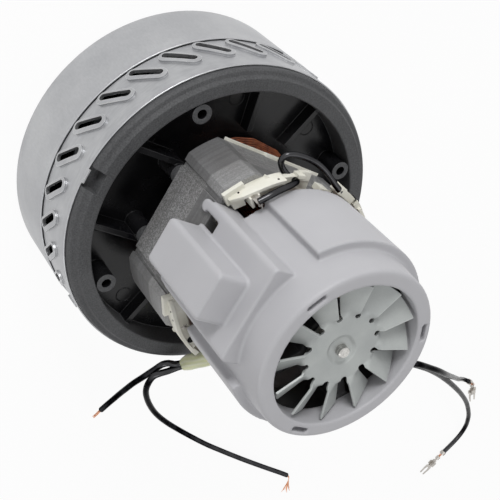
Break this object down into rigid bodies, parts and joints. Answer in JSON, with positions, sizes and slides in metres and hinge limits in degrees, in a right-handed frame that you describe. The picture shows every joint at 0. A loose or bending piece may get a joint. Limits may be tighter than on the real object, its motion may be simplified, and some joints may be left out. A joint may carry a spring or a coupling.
{
  "type": "vacuum motor unit",
  "caption": "Vacuum cleaner motor: fan stages in a louvred steel housing, a universal motor above on a moulded bracket, cooling fan under its cover, loose leads.",
  "frame": {"origin": "on the shaft axis in the plane of the inlet face, under the centre of the box round the unit without its loose leads", "axes": "+Z along the shaft from the inlet face to the cooling fan; -Y towards the front brush box"},
  "size_m": [0.2619, 0.4231, 0.1578],
  "materials": {
    "housing_steel": "galvanised, faintly brushed",
    "impeller_aluminium": "rolled sheet",
    "guide_plastic": "moulded",
    "bracket_plastic": "moulded black",
    "bearing_steel": "ground",
    "laminations": "stacked electrical sheet",
    "zinc_steel": "zinc plated",
    "former_plastic": "moulded cream white",
    "enamelled_copper": "enamelled wire",
    "cover_plastic": "moulded grey",
    "holder_brass": "stamped sheet",
    "spring_steel": "drawn wire",
    "carbon": "pressed carbon",
    "shaft_steel": "ground",
    "bar_copper": "turned copper",
    "fan_sheet": "pale grey green sheet",
    "lead_rubber": "black insulation, slight gloss",
    "sleeve_plastic": "translucent yellow",
    "bare_copper": "bare strands",
    "tin_plate": "tin plated"
  },
  "bodies": {
    "motor_frame": {"fan_shell": "housing_steel", "louvre_band": "housing_steel", "interstage_guide": "guide_plastic", "end_bracket": "bracket_plastic", "lower_bearing": "bearing_steel", "upper_bearing": "bearing_steel", "wave_washer": "bearing_steel", "stator_core": "laminations", "clamp_screws": "zinc_steel", "bobbin_left": "former_plastic", "bobbin_right": "former_plastic", "field_coil_left": "enamelled_copper", "field_coil_right": "enamelled_copper", "motor_cover": "cover_plastic", "brush_tube_front": "holder_brass", "brush_tube_back": "holder_brass", "brush_spring_front": "spring_steel", "brush_spring_back": "spring_steel", "jumper_lead": "lead_rubber", "coil_tails": "lead_rubber", "lead_sleeve": "sleeve_plastic", "lead_long": "lead_rubber", "lead_short": "lead_rubber", "lead_forked": "lead_rubber", "lead_receptacle": "lead_rubber", "bare_end_long": "bare_copper", "bare_end_short": "bare_copper", "fork_terminal": "tin_plate", "receptacle_terminal": "tin_plate"},
    "rotor": {"shaft": "shaft_steel", "armature_core": "laminations", "armature_windings": "enamelled_copper", "commutator": "bar_copper", "cooling_fan": "fan_sheet", "impeller_lower": "impeller_aluminium", "impeller_upper": "impeller_aluminium", "impeller_spacers": "zinc_steel", "impeller_nut": "zinc_steel"},
    "brush_front": {"carbon_brush_front": "carbon"},
    "brush_back": {"carbon_brush_back": "carbon"}
  },
  "joints": [
    {"name": "rotor_spin", "type": "hinge", "parent": "motor_frame", "child": "rotor", "pos_m": [0, 0, 0.0545], "axis": [0, 0, 1], "continuous": true},
    {"name": "front_brush_slide", "type": "slide", "parent": "motor_frame", "child": "brush_front", "axis": [0, -1, 0], "range_m": [0, 0.0015], "stiffness_N_per_m": 200, "springref_m": -0.015},
    {"name": "back_brush_slide", "type": "slide", "parent": "motor_frame", "child": "brush_back", "axis": [0, 1, 0], "range_m": [0, 0.0015], "stiffness_N_per_m": 200, "springref_m": -0.015}
  ]
}
